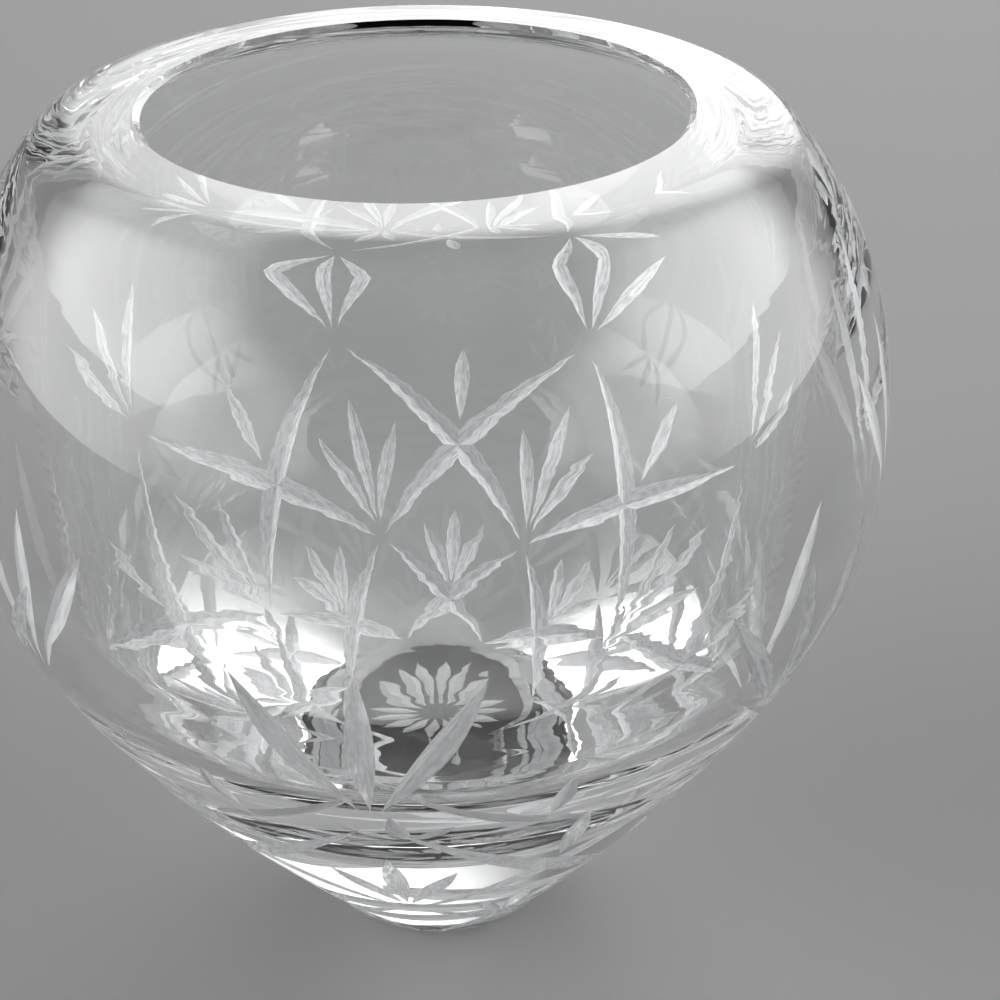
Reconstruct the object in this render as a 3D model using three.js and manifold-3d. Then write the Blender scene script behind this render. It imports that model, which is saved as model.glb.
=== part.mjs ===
// Cut-glass posy vase: one thick-walled glass body, round like a small rose bowl.
// Millimetres, +Z up, axis on x = y = 0, foot on z = 0.
import * as THREE from 'three';
import { mergeVertices } from 'three/addons/utils/BufferGeometryUtils.js';
import Module from 'manifold-3d';

// Turned body, outside.
const HEIGHT = 90;
const RIM_RADIUS = 30.3;
const RIM_EDGE = 2.2;
const BELLY_RADIUS = 43;
const BELLY_HEIGHT = 57.6;
const FOOT_RADIUS = 14.7;
const FOOT_BEVEL = 0.9;
const SHOULDER_ANGLE = 49.2;
const FOOT_ANGLE = 27.7;

// Turned body, inside.
const MOUTH_RADIUS = 22.9;
const MOUTH_BEVEL = 0.5;
const BELLY_WALL = 6.1;
const BASE_THICKNESS = 28.1;
const FLOOR_RADIUS = 5;
const NECK_ANGLE = 65.9;
const FLOOR_ANGLE = 80.4;

// Cut pattern: a lattice of long mitre cuts, fans of leaf cuts and a star under the foot.
const REPEATS = 7;
const LATTICE_TOP = 44.8;
const LATTICE_ANGLE = 42.3;
const LATTICE_DEPTH = 1.1;
const MITRE_HALF_ANGLE = 56;
const LEAF_DEPTH = 0.75;
const TIP_LIFT = 0.12;
const CUTTER_LIFT = 0.7;
const NODE_GAP = 1.2;
const TOP_FAN_LENGTH = 17.7;
const TOP_FAN_SIDE = 16.9;
const TOP_FAN_SPREAD = 13;
const SINGLE_LEAF_LENGTH = 12.3;
const SINGLE_LEAF_GAP = 2.1;
const MIDDLE_FAN_LENGTH = 19.3;
const MIDDLE_FAN_SIDE = 14.6;
const MIDDLE_FAN_SPREAD = 10.2;
const LOWER_FAN_LENGTH = 11.9;
const LOWER_FAN_SIDE = 9.5;
const LOWER_FAN_SPREAD = 10.8;
const STAR_RAYS = 16;
const STAR_RADIUS = 11.6;
const STAR_CENTRE = 2.2;
const STAR_DEPTH = 0.8;

const SEGMENTS = 56;
const rad = THREE.MathUtils.degToRad;

function curve(start, startHandle, endHandle, end, count) {
  const bezier = new THREE.CubicBezierCurve(start, startHandle, endHandle, end);
  return bezier.getPoints(count);
}

// Outside outline, from the foot up to where the rounded rim edge begins.
function outsideOutline(lowerCount, upperCount) {
  const rise = HEIGHT - BELLY_HEIGHT;
  const foot = new THREE.Vector2(FOOT_RADIUS, 0);
  const belly = new THREE.Vector2(BELLY_RADIUS, BELLY_HEIGHT);
  const rim = new THREE.Vector2(RIM_RADIUS, HEIGHT);
  const footHandle = new THREE.Vector2(Math.sin(rad(FOOT_ANGLE)), Math.cos(rad(FOOT_ANGLE)));
  footHandle.multiplyScalar(0.149 * BELLY_HEIGHT).add(foot);
  const lowHandle = new THREE.Vector2(BELLY_RADIUS, BELLY_HEIGHT * (1 - 0.255));
  const highHandle = new THREE.Vector2(BELLY_RADIUS, BELLY_HEIGHT + 0.326 * rise);
  const rimHandle = new THREE.Vector2(Math.sin(rad(SHOULDER_ANGLE)), -Math.cos(rad(SHOULDER_ANGLE)));
  rimHandle.multiplyScalar(0.437 * rise).add(rim);
  const lower = curve(foot, footHandle, lowHandle, belly, lowerCount);
  const upper = curve(belly, highHandle, rimHandle, rim, upperCount);
  return [...lower, ...upper.slice(1)];
}

// Inside outline, from the mouth down to the flat of the floor.
function insideOutline(upperCount, lowerCount) {
  const rise = HEIGHT - BELLY_HEIGHT;
  const drop = BELLY_HEIGHT - BASE_THICKNESS;
  const radius = BELLY_RADIUS - BELLY_WALL;
  const mouth = new THREE.Vector2(MOUTH_RADIUS, HEIGHT - MOUTH_BEVEL);
  const belly = new THREE.Vector2(radius, BELLY_HEIGHT);
  const floor = new THREE.Vector2(FLOOR_RADIUS, BASE_THICKNESS);
  const mouthHandle = new THREE.Vector2(Math.sin(rad(NECK_ANGLE)), -Math.cos(rad(NECK_ANGLE)));
  mouthHandle.multiplyScalar(0.488 * rise).add(mouth);
  const highHandle = new THREE.Vector2(radius, BELLY_HEIGHT + 0.177 * rise);
  const lowHandle = new THREE.Vector2(radius, BELLY_HEIGHT - 0.452 * drop);
  const floorHandle = new THREE.Vector2(Math.sin(rad(FLOOR_ANGLE)), Math.cos(rad(FLOOR_ANGLE)));
  floorHandle.multiplyScalar(0.637 * radius).add(floor);
  const upper = curve(mouth, mouthHandle, highHandle, belly, upperCount);
  const lower = curve(belly, lowHandle, floorHandle, floor, lowerCount);
  return [...upper, ...lower.slice(1)];
}

// Rounds the corner where the shoulder would meet the flat top of the rim.
function rimEdge(outline) {
  const corner = new THREE.Vector2(RIM_RADIUS, HEIGHT);
  const below = outline.filter((point) => point.distanceTo(corner) > RIM_EDGE);
  const last = below[below.length - 1];
  const toward = corner.clone().sub(last).normalize();
  const start = corner.clone().addScaledVector(toward, -RIM_EDGE);
  const end = new THREE.Vector2(RIM_RADIUS - RIM_EDGE, HEIGHT);
  const arc = new THREE.QuadraticBezierCurve(start, corner, end).getPoints(3);
  return [...below, ...arc];
}

function bodyProfile() {
  const outside = rimEdge(outsideOutline(10, 7));
  const bevelled = outside.filter((point) => point.y > FOOT_BEVEL);
  const foot = outside[0];
  return [
    new THREE.Vector2(0, 0),
    new THREE.Vector2(foot.x - FOOT_BEVEL, 0),
    new THREE.Vector2(foot.x + 0.5 * FOOT_BEVEL, FOOT_BEVEL),
    ...bevelled,
    new THREE.Vector2(MOUTH_RADIUS + MOUTH_BEVEL, HEIGHT),
    ...insideOutline(6, 7),
    new THREE.Vector2(0, BASE_THICKNESS),
  ];
}

// Fine outline that the cuts follow: radius and outward normal for a height.
const guide = outsideOutline(160, 120);

function outsideAt(height) {
  const index = Math.max(1, guide.findIndex((point) => point.y >= height));
  const low = guide[index - 1];
  const high = guide[index];
  const share = THREE.MathUtils.clamp((height - low.y) / (high.y - low.y), -4, 1);
  const slope = high.clone().sub(low).normalize();
  return { radius: low.x + share * (high.x - low.x), normal: new THREE.Vector2(slope.y, -slope.x) };
}

function station(angle, height) {
  const { radius, normal } = outsideAt(height);
  const across = new THREE.Vector3(Math.cos(angle), Math.sin(angle), 0);
  const point = across.clone().multiplyScalar(radius).setZ(height);
  const out = across.clone().multiplyScalar(normal.x).setZ(normal.y);
  return { point, out };
}

// A V-shaped cutter swept along a path; depth(u) is its depth below the surface.
function cutter(path, depth) {
  const positions = [];
  path.forEach(({ point, out }, index) => {
    const before = path[Math.max(0, index - 1)].point;
    const after = path[Math.min(path.length - 1, index + 1)].point;
    const along = after.clone().sub(before).normalize();
    const side = new THREE.Vector3().crossVectors(along, out).normalize();
    const deep = depth(index / (path.length - 1));
    const half = (deep + CUTTER_LIFT) * Math.tan(rad(MITRE_HALF_ANGLE));
    const top = point.clone().addScaledVector(out, CUTTER_LIFT);
    positions.push(point.clone().addScaledVector(out, -deep));
    positions.push(top.clone().addScaledVector(side, half));
    positions.push(top.clone().addScaledVector(side, -half));
  });
  const indices = [0, 1, 2];
  for (let i = 0; i < path.length - 1; i += 1) {
    for (let j = 0; j < 3; j += 1) {
      const a = 3 * i + j;
      const b = 3 * i + ((j + 1) % 3);
      indices.push(a, a + 3, b, b, a + 3, b + 3);
    }
  }
  const end = 3 * (path.length - 1);
  indices.push(end, end + 2, end + 1);
  const geometry = new THREE.BufferGeometry().setFromPoints(positions);
  geometry.setIndex(indices);
  return geometry;
}

// Depth along a cut: zero just above the surface at both tips, full in between.
function leafDepth(full, skew) {
  return (u) => (full + TIP_LIFT) * Math.sin(Math.PI * u ** skew) - TIP_LIFT;
}

// Heights of the lattice line that turns round the body at a steady angle.
function latticeHeights() {
  const steps = 4 * 6;
  const turn = Math.PI / REPEATS / 6;
  const heights = [LATTICE_TOP];
  for (let i = 0; i < steps; i += 1) {
    const height = heights[i];
    const { radius, normal } = outsideAt(height);
    const along = (turn * radius) / Math.tan(rad(LATTICE_ANGLE));
    heights.push(height - along * normal.x);
  }
  return heights;
}

const lattice = latticeHeights();
const MIDDLE_NODE = lattice[12];
const FIRST_NODE = lattice[6];
const LOWER_NODE = lattice[18];

function latticeCut(start, first, hand) {
  const path = [];
  for (let i = 0; i <= 12; i += 2) {
    const angle = start + (hand * i * Math.PI) / REPEATS / 6;
    path.push(station(angle, lattice[first + i]));
  }
  return cutter(path, leafDepth(LATTICE_DEPTH, 1));
}

function leafCut(angle, low, length, lean) {
  const path = [];
  for (let i = 0; i <= 4; i += 1) {
    const share = i / 4;
    path.push(station(angle + rad(lean) * share, low + length * share));
  }
  return cutter(path, leafDepth(LEAF_DEPTH, 1.25));
}

function fan(angle, node, length, sideLength, spread) {
  const low = node + NODE_GAP;
  return [
    leafCut(angle, low, length, 0),
    leafCut(angle, low, sideLength, spread),
    leafCut(angle, low, sideLength, -spread),
  ];
}

function starRay(angle) {
  const path = [];
  for (let i = 0; i <= 4; i += 1) {
    const radius = STAR_CENTRE + ((STAR_RADIUS - STAR_CENTRE) * i) / 4;
    const point = new THREE.Vector3(radius * Math.cos(angle), radius * Math.sin(angle), 0);
    path.push({ point, out: new THREE.Vector3(0, 0, -1) });
  }
  return cutter(path, leafDepth(STAR_DEPTH, 1.25));
}

function allCuts() {
  const cuts = [];
  for (let k = 0; k < REPEATS; k += 1) {
    const between = Math.PI / 2 + (2 * Math.PI * k) / REPEATS;
    const node = between + Math.PI / REPEATS;
    for (const hand of [1, -1]) {
      cuts.push(latticeCut(node, 0, hand));
      cuts.push(latticeCut(node, 12, hand));
    }
    cuts.push(...fan(node, LATTICE_TOP, TOP_FAN_LENGTH, TOP_FAN_SIDE, TOP_FAN_SPREAD));
    cuts.push(leafCut(between, FIRST_NODE + SINGLE_LEAF_GAP, SINGLE_LEAF_LENGTH, 0));
    cuts.push(...fan(node, MIDDLE_NODE, MIDDLE_FAN_LENGTH, MIDDLE_FAN_SIDE, MIDDLE_FAN_SPREAD));
    cuts.push(...fan(between, LOWER_NODE, LOWER_FAN_LENGTH, LOWER_FAN_SIDE, LOWER_FAN_SPREAD));
  }
  for (let k = 0; k < STAR_RAYS; k += 1) {
    cuts.push(starRay((2 * Math.PI * k) / STAR_RAYS));
  }
  return cuts;
}

const wasm = await Module();
wasm.setup();

function solid(geometry) {
  const bare = new THREE.BufferGeometry();
  bare.setAttribute('position', geometry.getAttribute('position'));
  bare.setIndex(geometry.getIndex());
  const welded = mergeVertices(bare, 1e-4);
  const vertProperties = new Float32Array(welded.getAttribute('position').array);
  const triVerts = new Uint32Array(welded.getIndex().array);
  return new wasm.Manifold(new wasm.Mesh({ numProp: 3, vertProperties, triVerts }));
}

function shell(manifold) {
  const mesh = manifold.getMesh();
  const geometry = new THREE.BufferGeometry();
  geometry.setAttribute('position', new THREE.BufferAttribute(mesh.vertProperties, 3));
  geometry.setIndex(new THREE.BufferAttribute(mesh.triVerts, 1));
  geometry.computeVertexNormals();
  return geometry;
}

function turnedBody() {
  const lathe = new THREE.LatheGeometry(bodyProfile(), SEGMENTS);
  return lathe.rotateX(Math.PI / 2);
}

let body = solid(turnedBody());
for (const cut of allCuts()) {
  body = body.subtract(solid(cut));
}

const glass = new THREE.MeshStandardMaterial({ color: 0xe9eef0, roughness: 0.05, metalness: 0 });
const vaseBody = new THREE.Mesh(shell(body), glass);
vaseBody.name = 'vase_body';

const vase = new THREE.Group();
vase.name = 'cut_glass_vase';
vase.add(vaseBody);

export default vase;
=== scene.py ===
import math

import bpy
import numpy as np
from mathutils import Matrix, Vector, kdtree


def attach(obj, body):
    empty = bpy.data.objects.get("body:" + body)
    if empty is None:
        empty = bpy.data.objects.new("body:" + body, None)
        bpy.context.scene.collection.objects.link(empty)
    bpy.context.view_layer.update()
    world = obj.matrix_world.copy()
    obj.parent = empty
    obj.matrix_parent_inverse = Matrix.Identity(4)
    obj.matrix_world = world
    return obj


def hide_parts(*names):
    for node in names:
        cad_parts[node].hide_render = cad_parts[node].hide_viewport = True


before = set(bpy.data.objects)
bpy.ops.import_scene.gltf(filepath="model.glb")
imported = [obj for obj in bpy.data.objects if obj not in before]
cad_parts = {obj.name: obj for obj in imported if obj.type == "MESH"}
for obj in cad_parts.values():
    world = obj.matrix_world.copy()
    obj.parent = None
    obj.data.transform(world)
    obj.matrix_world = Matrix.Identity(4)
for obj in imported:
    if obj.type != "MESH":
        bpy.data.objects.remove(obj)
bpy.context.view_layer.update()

MM = 0.001

# Sizes of the turned body in millimetres, the same as in the solid.
HEIGHT = 90.0
RIM_RADIUS = 30.3
RIM_EDGE = 2.2
BELLY_RADIUS = 43.0
BELLY_HEIGHT = 57.6
FOOT_RADIUS = 14.7
FOOT_BEVEL = 0.9
SHOULDER_ANGLE = math.radians(49.2)
FOOT_ANGLE = math.radians(27.7)
MOUTH_RADIUS = 22.9
MOUTH_BEVEL = 0.5
BELLY_WALL = 6.1
BASE_THICKNESS = 28.1
FLOOR_RADIUS = 5.0
NECK_ANGLE = math.radians(65.9)
FLOOR_ANGLE = math.radians(80.4)

# Lengths of the outline curves' handles, as shares of the height, rise, drop or radius they belong to.
FOOT_HANDLE = 0.149
LOW_HANDLE = 0.255
HIGH_HANDLE = 0.326
RIM_HANDLE = 0.437
MOUTH_HANDLE = 0.488
HIGH_INSIDE_HANDLE = 0.177
LOW_INSIDE_HANDLE = 0.452
FLOOR_HANDLE = 0.637

# Sizes of the cut pattern. A fan is its middle leaf's length, its side leaves' length and their spread.
REPEATS = 7
LATTICE_TOP = 44.8
LATTICE_ANGLE = math.radians(42.3)
LATTICE_DEPTH = 1.1
MITRE_HALF_ANGLE = math.radians(56)
LEAF_DEPTH = 0.75
LEAF_SKEW = 1.25
TIP_LIFT = 0.12
CUTTER_LIFT = 0.7
NODE_GAP = 1.2
TOP_FAN = (17.7, 16.9, 13.0)
MIDDLE_FAN = (19.3, 14.6, 10.2)
LOWER_FAN = (11.9, 9.5, 10.8)
SINGLE_LEAF_LENGTH = 12.3
SINGLE_LEAF_GAP = 2.1
STAR_RAYS = 16
STAR_RADIUS = 11.6
STAR_CENTRE = 2.2
STAR_DEPTH = 0.8

# Turning steps round the body, and steps from node to node of a lattice cut.
SEGMENTS = 256
STEPS = 24

# Radius in millimetres of the ring that stands for a turn round the body in the glass's waves, and how far
# apart the cuts of a round are in their streaks and lines.
RING = 6.0
CUT_SPACING = 10.0

# Glass: colours, and bump heights in metres.
CLEAR = (0.985, 0.99, 0.99)
SATIN = (0.95, 0.96, 0.97)
CRYSTAL_IOR = 1.56
SATIN_ROUGHNESS = 0.12
WAVE_HEIGHT = 0.0003
LINE_HEIGHT = 0.0001
LINE_STRENGTH = 0.35

# Stage and room. The room's level falls from the first to the second, between two heights of the direction
# in which it is seen.
FLOOR_REACH = 3.0
FLOOR_COLOUR = (0.4, 0.4, 0.405)
FLOOR_ROUGHNESS = 0.8
ROOM_LEVELS = (0.26, 0.04)
ROOM_HEIGHTS = (-0.05, 0.6)
BACKDROP_LEVEL = 0.33

# Each light is its azimuth from +Y towards +X, its elevation, the angles from its centre where it stops
# being full and where it ends, and its strength.
LIGHTS = (
    (-100, 20, 14, 38, 2.8),
    (84, 20, 14, 38, 2.8),
    (8, 24, 12, 36, 3.1),
)

# Camera: lens and sensor in millimetres, its azimuth from +Y towards +X and its distance from the vase's
# axis, its height over the rim, and how far it looks away from +Y and down.
LENS = 49.51
SENSOR = 36
CAMERA_AZIMUTH = math.radians(172.26)
CAMERA_REACH = 114.89
CAMERA_RISE = 37.22
CAMERA_YAW = math.radians(-4.26)
CAMERA_PITCH = math.radians(34.35)

# Material slots of the glass.
OUTSIDE, INSIDE, LEFT_FLANK, RIGHT_FLANK, LEFT_STAR, RIGHT_STAR = range(6)


def bezier(start, start_handle, end_handle, end, count):
    t = np.linspace(0, 1, count + 1)[:, None]
    points = [np.array(p, float) for p in (start, start_handle, end_handle, end)]
    weights = ((1 - t) ** 3, 3 * (1 - t) ** 2 * t, 3 * (1 - t) * t**2, t**3)
    return sum(w * p for w, p in zip(weights, points))


def outside_outline(lower_count, upper_count):
    rise = HEIGHT - BELLY_HEIGHT
    foot = np.array([FOOT_RADIUS, 0])
    belly = np.array([BELLY_RADIUS, BELLY_HEIGHT])
    rim = np.array([RIM_RADIUS, HEIGHT])
    foot_way = np.array([math.sin(FOOT_ANGLE), math.cos(FOOT_ANGLE)])
    rim_way = np.array([math.sin(SHOULDER_ANGLE), -math.cos(SHOULDER_ANGLE)])
    foot_handle = foot + FOOT_HANDLE * BELLY_HEIGHT * foot_way
    low_handle = (BELLY_RADIUS, BELLY_HEIGHT * (1 - LOW_HANDLE))
    high_handle = (BELLY_RADIUS, BELLY_HEIGHT + HIGH_HANDLE * rise)
    rim_handle = rim + RIM_HANDLE * rise * rim_way
    lower = bezier(foot, foot_handle, low_handle, belly, lower_count)
    upper = bezier(belly, high_handle, rim_handle, rim, upper_count)
    return np.concatenate([lower, upper[1:]])


def inside_outline(upper_count, lower_count):
    rise = HEIGHT - BELLY_HEIGHT
    drop = BELLY_HEIGHT - BASE_THICKNESS
    radius = BELLY_RADIUS - BELLY_WALL
    mouth = np.array([MOUTH_RADIUS, HEIGHT - MOUTH_BEVEL])
    floor = np.array([FLOOR_RADIUS, BASE_THICKNESS])
    mouth_way = np.array([math.sin(NECK_ANGLE), -math.cos(NECK_ANGLE)])
    floor_way = np.array([math.sin(FLOOR_ANGLE), math.cos(FLOOR_ANGLE)])
    mouth_handle = mouth + MOUTH_HANDLE * rise * mouth_way
    floor_handle = floor + FLOOR_HANDLE * radius * floor_way
    high_handle = (radius, BELLY_HEIGHT + HIGH_INSIDE_HANDLE * rise)
    low_handle = (radius, BELLY_HEIGHT - LOW_INSIDE_HANDLE * drop)
    upper = bezier(mouth, mouth_handle, high_handle, (radius, BELLY_HEIGHT), upper_count)
    lower = bezier((radius, BELLY_HEIGHT), low_handle, floor_handle, floor, lower_count)
    return np.concatenate([upper, lower[1:]])


def rim_edge(outline):
    """Rounds the corner where the shoulder would meet the flat top of the rim."""
    corner = np.array([RIM_RADIUS, HEIGHT])
    below = outline[np.linalg.norm(outline - corner, axis=1) > RIM_EDGE]
    toward = corner - below[-1]
    start = corner - RIM_EDGE * toward / np.linalg.norm(toward)
    end = np.array([RIM_RADIUS - RIM_EDGE, HEIGHT])
    t = np.linspace(0, 1, 17)[:, None]
    arc = (1 - t) ** 2 * start + 2 * (1 - t) * t * corner + t**2 * end
    return np.concatenate([below, arc])


def sections():
    """Parts of the turned outline between its sharp corners, from the foot's middle to the hollow's."""
    outside = rim_edge(outside_outline(130, 70))
    low = np.array([FOOT_RADIUS + 0.5 * FOOT_BEVEL, FOOT_BEVEL])
    wall = np.concatenate([[low], outside[outside[:, 1] > FOOT_BEVEL + 0.15]])
    foot_edge = np.array([FOOT_RADIUS - FOOT_BEVEL, 0])
    mouth_edge = np.array([MOUTH_RADIUS + MOUTH_BEVEL, HEIGHT])
    inside = inside_outline(70, 90)
    base = [[r, 0] for r in np.linspace(0, foot_edge[0], 6)]
    rim = [[r, HEIGHT] for r in np.linspace(wall[-1][0], mouth_edge[0], 4)]
    floor = [[r, BASE_THICKNESS] for r in np.linspace(FLOOR_RADIUS, 0, 3)]
    return [
        (OUTSIDE, np.array(base)),
        (OUTSIDE, np.array([foot_edge, low])),
        (OUTSIDE, np.concatenate([wall, rim[1:]])),
        (INSIDE, np.array([mouth_edge, inside[0]])),
        (INSIDE, np.concatenate([inside, floor[1:]])),
    ]


# Fine outline that the cuts follow.
guide = outside_outline(600, 400)


def outside_at(height):
    """Radius of the outside at a height, and its outward normal."""
    index = min(max(1, int(np.searchsorted(guide[:, 1], height))), len(guide) - 1)
    low, high = guide[index - 1], guide[index]
    share = max(-4.0, min(1.0, (height - low[1]) / (high[1] - low[1])))
    slope = (high - low) / np.linalg.norm(high - low)
    return low[0] + share * (high[0] - low[0]), np.array([slope[1], -slope[0]])


def station(angle, height):
    radius, normal = outside_at(height)
    across = np.array([math.cos(angle), math.sin(angle), 0])
    point = across * radius + np.array([0, 0, height])
    return point, across * normal[0] + np.array([0, 0, normal[1]])


def leaf_depth(full, skew):
    """Depth along a cut: just above the surface at both tips, full in between."""
    return lambda u: (full + TIP_LIFT) * math.sin(math.pi * u**skew) - TIP_LIFT


def cutter(path, depth, flanks=(LEFT_FLANK, RIGHT_FLANK)):
    """A V-shaped cutter swept along a path.

    Returns its corners, its faces, the faces' slots, and each corner's place along and across the cut.
    """
    corners, faces, slots, places = [], [], [], []
    last = len(path) - 1
    run = 0.0
    for i, (point, out) in enumerate(path):
        along = path[min(last, i + 1)][0] - path[max(0, i - 1)][0]
        side = np.cross(along, out)
        side = side / np.linalg.norm(side)
        deep = depth(i / last)
        half = (deep + CUTTER_LIFT) * math.tan(MITRE_HALF_ANGLE)
        slant = (deep + CUTTER_LIFT) / math.cos(MITRE_HALF_ANGLE)
        top = point + out * CUTTER_LIFT
        corners += [point - out * deep, top + side * half, top - side * half]
        run += np.linalg.norm(point - path[max(0, i - 1)][0])
        places += [(run, 0.0), (run, slant), (run, -slant)]
    for i in range(last):
        for j, slot in enumerate((flanks[0], OUTSIDE, flanks[1])):
            a, b = 3 * i + j, 3 * i + (j + 1) % 3
            faces += [(a, a + 3, b), (b, a + 3, b + 3)]
            slots += [slot, slot]
    faces += [(0, 1, 2), (3 * last, 3 * last + 2, 3 * last + 1)]
    slots += [OUTSIDE, OUTSIDE]
    return corners, faces, slots, places


def lattice_heights(steps):
    """Heights of a lattice line that turns round the body at a steady angle."""
    heights = [LATTICE_TOP]
    turn = math.pi / REPEATS / steps
    for _ in range(4 * steps):
        radius, normal = outside_at(heights[-1])
        along = turn * radius / math.tan(LATTICE_ANGLE)
        heights.append(heights[-1] - along * normal[0])
    return heights


lattice = lattice_heights(STEPS)
FIRST_NODE, MIDDLE_NODE, LOWER_NODE = lattice[STEPS], lattice[2 * STEPS], lattice[3 * STEPS]


def lattice_cut(start, first, hand):
    turn = hand * math.pi / REPEATS / STEPS
    path = [station(start + i * turn, lattice[first + i]) for i in range(2 * STEPS + 1)]
    return cutter(path, leaf_depth(LATTICE_DEPTH, 1))


def leaf_cut(angle, low, length, lean):
    shares = np.linspace(0, 1, 25)
    path = [station(angle + math.radians(lean) * s, low + length * s) for s in shares]
    return cutter(path, leaf_depth(LEAF_DEPTH, LEAF_SKEW))


def star_ray(angle):
    radii = np.linspace(STAR_CENTRE, STAR_RADIUS, 17)
    spoke = np.array([math.cos(angle), math.sin(angle), 0])
    path = [(spoke * r, np.array([0, 0, -1.0])) for r in radii]
    return cutter(path, leaf_depth(STAR_DEPTH, LEAF_SKEW), (LEFT_STAR, RIGHT_STAR))


def cut_rounds():
    """Rounds of cuts; the cuts of one round don't touch each other."""
    between = [math.pi / 2 + 2 * math.pi * k / REPEATS for k in range(REPEATS)]
    nodes = [a + math.pi / REPEATS for a in between]
    rounds = []
    for hand in (1, -1):
        rounds.append([lattice_cut(a, 0, hand) for a in nodes])
        rounds.append([lattice_cut(a, 2 * STEPS, hand) for a in nodes])
    rounds.append([leaf_cut(a, FIRST_NODE + SINGLE_LEAF_GAP, SINGLE_LEAF_LENGTH, 0) for a in between])
    for angles, node, (length, side_length, spread) in (
        (nodes, LATTICE_TOP, TOP_FAN),
        (nodes, MIDDLE_NODE, MIDDLE_FAN),
        (between, LOWER_NODE, LOWER_FAN),
    ):
        low = node + NODE_GAP
        for reach, lean in ((length, 0), (side_length, spread), (side_length, -spread)):
            rounds.append([leaf_cut(a, low, reach, lean) for a in angles])
    rounds.append([star_ray(2 * math.pi * k / STAR_RAYS) for k in range(STAR_RAYS)])
    return rounds


def mesh_object(name, corners, faces, slots, materials, places):
    """A mesh in metres; places go into the corner attribute that the materials read."""
    mesh = bpy.data.meshes.new(name)
    mesh.from_pydata([tuple(c) for c in np.array(corners) * MM], [], faces)
    for material in materials:
        mesh.materials.append(material)
    mesh.polygons.foreach_set("material_index", slots)
    mesh.update()
    vertex = np.zeros(len(mesh.loops), np.int32)
    mesh.loops.foreach_get("vertex_index", vertex)
    groove = mesh.attributes.new("groove", "FLOAT_VECTOR", "CORNER")
    groove.data.foreach_set("vector", np.array(places, np.float32)[vertex].ravel())
    body = bpy.data.objects.new(name, mesh)
    bpy.context.scene.collection.objects.link(body)
    return body


def turned_body(parts, materials):
    """The turned glass before cutting; a place is the run along the profile and a point of the ring."""
    profile, slots_by_row = [np.array([0.0, 0.0])], []
    for slot, points in parts:
        for point in points:
            if np.linalg.norm(point - profile[-1]) > 1e-6:
                profile.append(point)
                slots_by_row.append(slot)
    angles = [2 * math.pi * s / SEGMENTS for s in range(SEGMENTS)]
    inner = profile[1:-1]
    corners = [(0, 0, 0)]
    corners += [(p[0] * math.cos(a), p[0] * math.sin(a), p[1]) for p in inner for a in angles]
    corners.append((0, 0, profile[-1][1]))
    top = len(corners) - 1
    faces, slots = [], []
    last_row = 1 + (len(inner) - 1) * SEGMENTS
    for s in range(SEGMENTS):
        n = (s + 1) % SEGMENTS
        faces.append((0, 1 + n, 1 + s))
        slots.append(slots_by_row[0])
        for row in range(len(inner) - 1):
            a, b = 1 + row * SEGMENTS + s, 1 + row * SEGMENTS + n
            faces.append((a, b, b + SEGMENTS, a + SEGMENTS))
            slots.append(slots_by_row[row + 1])
        faces.append((last_row + s, last_row + n, top))
        slots.append(slots_by_row[-1])
    run = np.cumsum([np.linalg.norm(b - a) for a, b in zip(profile, profile[1:])])
    places = [(0, 0, 0)]
    places += [(r, RING * math.cos(a), RING * math.sin(a)) for r in run[:-1] for a in angles]
    places.append((run[-1], 0, 0))
    return mesh_object("vase_glass", corners, faces, slots, materials, places)


def joined(cuts, materials):
    """One object of several cutters; the third number of a place tells the cutters apart."""
    corners, faces, slots, places = [], [], [], []
    for index, (c, f, s, run) in enumerate(cuts):
        shift = len(corners)
        corners += list(c)
        faces += [tuple(i + shift for i in face) for face in f]
        slots += s
        places += [(along, across, CUT_SPACING * index) for along, across in run]
    return mesh_object("cut_round", corners, faces, slots, materials, places)


def carve(body, rounds, materials):
    """Takes the rounds of cuts out of the body."""
    for cuts in rounds:
        tool = joined(cuts, materials)
        modifier = body.modifiers.new("cut", "BOOLEAN")
        modifier.operation = "DIFFERENCE"
        modifier.solver = "MANIFOLD"
        modifier.material_mode = "INDEX"
        modifier.object = tool
        bpy.context.view_layer.update()
        graph = bpy.context.evaluated_depsgraph_get()
        result = bpy.data.meshes.new_from_object(body.evaluated_get(graph))
        body.modifiers.clear()
        old, body.data = body.data, result
        bpy.data.meshes.remove(old)
        tool_mesh = tool.data
        bpy.data.objects.remove(tool)
        bpy.data.meshes.remove(tool_mesh)


def outline_samples(parts):
    """Dense points of the outline with their outward normals and the part each lies on."""
    points, normals, owner = [], [], []
    for index, (_, section) in enumerate(parts):
        step = np.diff(section, axis=0)
        normal = np.stack([step[:, 1], -step[:, 0]], 1)
        normal /= np.linalg.norm(normal, axis=1)[:, None]
        corner = np.concatenate([normal[:1], normal[:-1] + normal[1:], normal[-1:]])
        corner /= np.linalg.norm(corner, axis=1)[:, None]
        for i in range(len(step)):
            for t in np.linspace(0, 1, 9):
                points.append(section[i] + t * step[i])
                n = (1 - t) * corner[i] + t * corner[i + 1]
                normals.append(n / np.linalg.norm(n))
                owner.append(index)
    return np.array(points), np.array(normals), np.array(owner)


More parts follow.
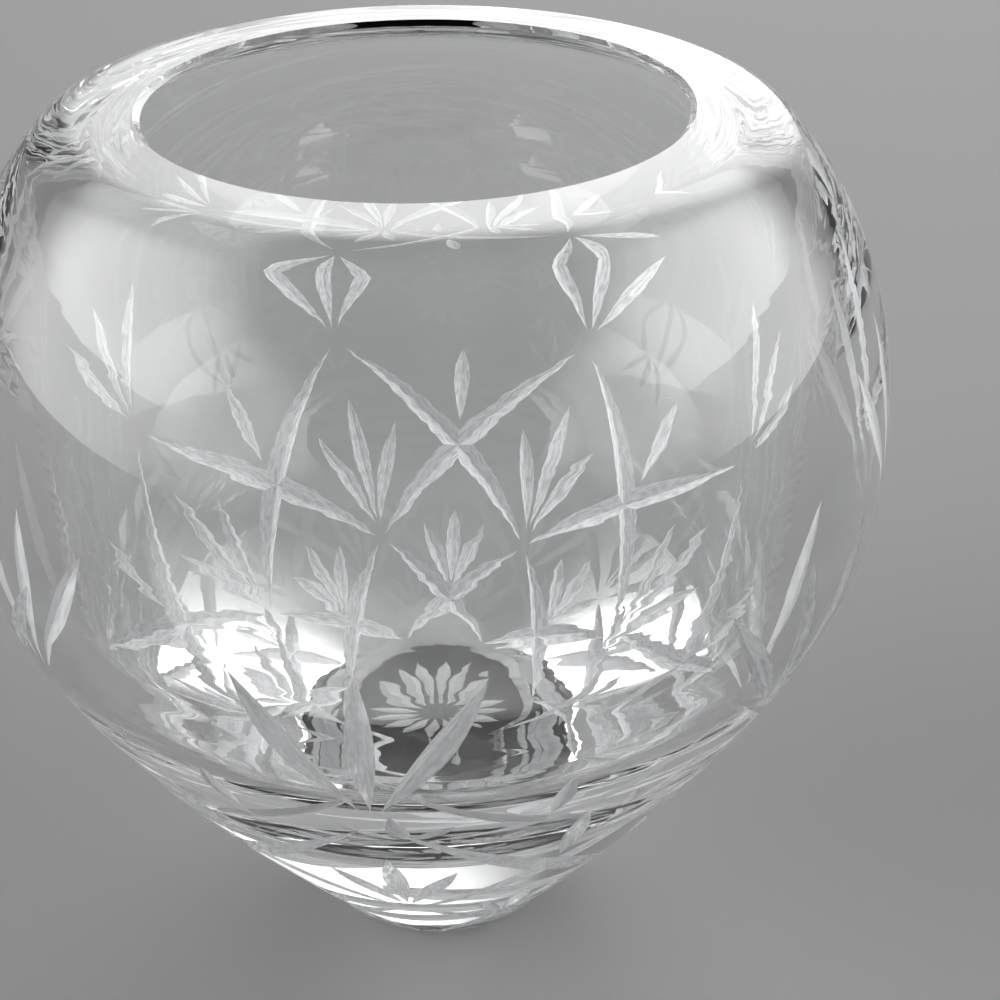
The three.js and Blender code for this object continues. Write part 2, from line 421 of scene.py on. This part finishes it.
def smooth_normals(body, parts):
    """Gives turned faces the outline's own normals, and each flank of a cut its own smooth run."""
    mesh = body.data
    points, normals, owner = outline_samples(parts)
    trees = []
    for index in range(len(parts)):
        members = np.nonzero(owner == index)[0]
        tree = kdtree.KDTree(len(members))
        for m in members:
            tree.insert((points[m][0], points[m][1], 0), int(m))
        tree.balance()
        trees.append(tree)
    count = len(mesh.loops)
    corner_vertex = np.zeros(count, np.int32)
    mesh.loops.foreach_get("vertex_index", corner_vertex)
    co = np.zeros(len(mesh.vertices) * 3)
    mesh.vertices.foreach_get("co", co)
    co = co.reshape(-1, 3) / MM
    polar = np.stack([np.hypot(co[:, 0], co[:, 1]), co[:, 2]], 1)
    faces = len(mesh.polygons)
    starts, totals, slot = (np.zeros(faces, np.int32) for _ in range(3))
    mesh.polygons.foreach_get("loop_start", starts)
    mesh.polygons.foreach_get("loop_total", totals)
    mesh.polygons.foreach_get("material_index", slot)
    face_normal = np.zeros(faces * 3)
    mesh.polygons.foreach_get("normal", face_normal)
    face_normal = face_normal.reshape(-1, 3)
    area = np.zeros(faces)
    mesh.polygons.foreach_get("area", area)
    face_of = np.repeat(np.arange(faces), totals)
    order = np.concatenate([np.arange(s, s + t) for s, t in zip(starts, totals)])
    face_of_corner = np.zeros(count, np.int64)
    face_of_corner[order] = face_of
    result = face_normal[face_of_corner].copy()

    flank = slot[face_of_corner] >= LEFT_FLANK
    key = corner_vertex.astype(np.int64) * len(mesh.materials) + slot[face_of_corner]
    total = np.zeros((len(mesh.vertices) * len(mesh.materials), 3))
    np.add.at(total, key[flank], (face_normal * area[:, None])[face_of_corner[flank]])
    mean = total[key[flank]]
    mean /= np.maximum(np.linalg.norm(mean, axis=1), 1e-12)[:, None]
    close = (mean * result[flank]).sum(1) > math.cos(math.radians(12))
    picked = np.nonzero(flank)[0][close]
    result[picked] = mean[close]

    memory = {}
    centre = np.zeros(faces * 3)
    mesh.polygons.foreach_get("center", centre)
    centre = centre.reshape(-1, 3) / MM
    for f in np.nonzero(slot < LEFT_FLANK)[0]:
        place = (float(np.hypot(centre[f][0], centre[f][1])), float(centre[f][2]), 0)
        wanted = [i for i, (s, _) in enumerate(parts) if s == slot[f]]
        part = min(wanted, key=lambda i: trees[i].find(place)[2])
        for corner in range(starts[f], starts[f] + totals[f]):
            v = int(corner_vertex[corner])
            if (v, part) not in memory:
                near = trees[part].find((polar[v][0], polar[v][1], 0))[1]
                n = normals[near]
                reach = polar[v][0]
                ray = co[v][:2] / reach if reach > 1e-6 else np.zeros(2)
                memory[(v, part)] = (n[0] * ray[0], n[0] * ray[1], n[1])
            result[corner] = memory[(v, part)]
    mesh.shade_smooth()
    mesh.normals_split_custom_set([tuple(n) for n in result])


def node(tree, kind, **inputs):
    """A new node with the named inputs set."""
    made = tree.nodes.new(kind)
    for name, value in inputs.items():
        made.inputs[name.replace("_", " ")].default_value = value
    return made


def crystal(name, colour, roughness, transmission):
    """Lead crystal; returns the material, its node tree and its shader node."""
    material = bpy.data.materials.new(name)
    material.use_nodes = True
    tree = material.node_tree
    shader = tree.nodes["Principled BSDF"]
    shader.inputs["Base Color"].default_value = (*colour, 1)
    shader.inputs["Transmission Weight"].default_value = transmission
    shader.inputs["IOR"].default_value = CRYSTAL_IOR
    shader.inputs["Roughness"].default_value = roughness
    return material, tree, shader


def place_in(tree):
    """The corner attribute: a place in a cut, or along and round the turned outline, in millimetres."""
    groove = tree.nodes.new("ShaderNodeAttribute")
    groove.attribute_name = "groove"
    return groove.outputs["Vector"]


def waves(tree, source, stretch, detail):
    """Noise over the source coordinates, stretched by a factor for each axis."""
    mapping = node(tree, "ShaderNodeMapping", Scale=stretch)
    noise = node(tree, "ShaderNodeTexNoise", Scale=1.0, Detail=detail)
    tree.links.new(source, mapping.inputs["Vector"])
    tree.links.new(mapping.outputs["Vector"], noise.inputs["Vector"])
    return noise.outputs["Fac"]


def bumped(tree, shader, height, strength, distance):
    """Bumps the shader's surface by a height of up to distance in metres."""
    bump = node(tree, "ShaderNodeBump", Strength=strength, Distance=distance)
    tree.links.new(height, bump.inputs["Height"])
    tree.links.new(bump.outputs["Normal"], shader.inputs["Normal"])


def polished(name, stretch, strength):
    """Clear fire-polished surface with slight waves along and round the turned outline."""
    material, tree, shader = crystal(name, CLEAR, 0.0, 1.0)
    bumped(tree, shader, waves(tree, place_in(tree), stretch, 2.0), strength, WAVE_HEIGHT)
    return material


def flank(name, transmission, least, most):
    """Side of a wheel cut: satin glass with fine lines along the cut.

    Streaks of it are frosted, from least to most, and pass on the light that falls on them from outside.
    """
    material, tree, shader = crystal(name, SATIN, SATIN_ROUGHNESS, transmission)
    groove = place_in(tree)
    lines = waves(tree, groove, (0.35, 6.0, 1.0), 3.0)
    bumped(tree, shader, lines, LINE_STRENGTH, LINE_HEIGHT)
    frost = node(tree, "ShaderNodeBsdfTranslucent", Color=(*SATIN, 1))
    streaks = waves(tree, groove, (0.5, 2.5, 1.0), 2.0)
    share = node(tree, "ShaderNodeMapRange", From_Min=0.35, From_Max=0.62, To_Min=least, To_Max=most)
    both = tree.nodes.new("ShaderNodeMixShader")
    tree.links.new(streaks, share.inputs["Value"])
    tree.links.new(share.outputs["Result"], both.inputs["Fac"])
    tree.links.new(shader.outputs["BSDF"], both.inputs[1])
    tree.links.new(frost.outputs["BSDF"], both.inputs[2])
    tree.links.new(both.outputs["Shader"], tree.nodes["Material Output"].inputs["Surface"])
    return material


parts = sections()
materials = [
    polished("crystal_outside", (0.06, 0.4, 0.4), 0.03),
    polished("crystal_inside", (0.4, 0.35, 0.35), 0.08),
    flank("cut_left", 0.9, 0.55, 0.97),
    flank("cut_right", 0.9, 0.55, 0.97),
    flank("star_left", 0.1, 0.0, 0.2),
    flank("star_right", 0.1, 0.0, 0.2),
]
vase = turned_body(parts, materials)
carve(vase, cut_rounds(), materials)
smooth_normals(vase, parts)
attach(vase, "root")
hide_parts("vase_body")

# Stage: a plain pale floor.
floor_mesh = bpy.data.meshes.new("floor")
floor_corners = [(x * FLOOR_REACH, y * FLOOR_REACH, 0) for x, y in ((-1, -1), (1, -1), (1, 1), (-1, 1))]
floor_mesh.from_pydata(floor_corners, [], [(0, 1, 2, 3)])
floor = bpy.data.objects.new("floor", floor_mesh)
bpy.context.scene.collection.objects.link(floor)
floor_paint = bpy.data.materials.new("floor_paint")
floor_paint.use_nodes = True
floor_shader = floor_paint.node_tree.nodes["Principled BSDF"]
floor_shader.inputs["Base Color"].default_value = (*FLOOR_COLOUR, 1)
floor_shader.inputs["Roughness"].default_value = FLOOR_ROUGHNESS
floor_mesh.materials.append(floor_paint)

# Light: a grey room, dark overhead, with large soft-edged lights low at both sides and behind. Past the
# floor the camera itself sees a plain grey backdrop instead.
scene = bpy.context.scene
world = bpy.data.worlds.new("studio")
scene.world = world
world.use_nodes = True
sky = world.node_tree
direction = sky.nodes.new("ShaderNodeTexCoord").outputs["Generated"]
room = sky.nodes.new("ShaderNodeMapRange")
for socket, value in zip(("From Min", "From Max", "To Min", "To Max"), ROOM_HEIGHTS + ROOM_LEVELS):
    room.inputs[socket].default_value = value
split = sky.nodes.new("ShaderNodeSeparateXYZ")
sky.links.new(direction, split.inputs["Vector"])
sky.links.new(split.outputs["Z"], room.inputs["Value"])


def soft_light(azimuth, elevation, inner, outer, strength):
    """A round light at infinity, full up to the inner angle from its centre and gone at the outer."""
    turn, lift = math.radians(azimuth), math.radians(elevation)
    centre = (math.sin(turn) * math.cos(lift), math.cos(turn) * math.cos(lift), math.sin(lift))
    aim = sky.nodes.new("ShaderNodeVectorMath")
    aim.operation = "DOT_PRODUCT"
    aim.inputs[1].default_value = centre
    sky.links.new(direction, aim.inputs[0])
    edge, core = math.cos(math.radians(outer)), math.cos(math.radians(inner))
    fade = node(sky, "ShaderNodeMapRange", From_Min=edge, From_Max=core, To_Min=0.0, To_Max=strength)
    fade.interpolation_type = "SMOOTHSTEP"
    sky.links.new(aim.outputs["Value"], fade.inputs["Value"])
    return fade.outputs["Result"]


level = room.outputs["Result"]
for light in LIGHTS:
    total = sky.nodes.new("ShaderNodeMath")
    sky.links.new(level, total.inputs[0])
    sky.links.new(soft_light(*light), total.inputs[1])
    level = total.outputs["Value"]
path = sky.nodes.new("ShaderNodeLightPath")
seen = node(sky, "ShaderNodeMix", B=BACKDROP_LEVEL)
sky.links.new(path.outputs["Is Camera Ray"], seen.inputs["Factor"])
sky.links.new(level, seen.inputs["A"])
sky.links.new(seen.outputs["Result"], sky.nodes["Background"].inputs["Strength"])
sky.nodes["Background"].inputs["Color"].default_value = (1, 1, 1, 1)

# Camera, fitted to the rim, mouth, outline and foot of the photograph.
camera_data = bpy.data.cameras.new("camera")
camera_data.sensor_width = SENSOR
camera_data.lens = LENS
camera_data.clip_start = 0.005
camera = bpy.data.objects.new("camera", camera_data)
scene.collection.objects.link(camera)
across, along = math.sin(CAMERA_AZIMUTH), math.cos(CAMERA_AZIMUTH)
camera.location = Vector((CAMERA_REACH * across, CAMERA_REACH * along, HEIGHT + CAMERA_RISE)) * MM
aside, ahead, level_share = math.sin(CAMERA_YAW), math.cos(CAMERA_YAW), math.cos(CAMERA_PITCH)
forward = Vector((aside * level_share, ahead * level_share, -math.sin(CAMERA_PITCH)))
camera.rotation_euler = forward.to_track_quat("-Z", "Y").to_euler()
scene.camera = camera

scene.view_settings.view_transform = "Standard"
scene.cycles.max_bounces = 24
scene.cycles.transmission_bounces = 24
scene.cycles.glossy_bounces = 12
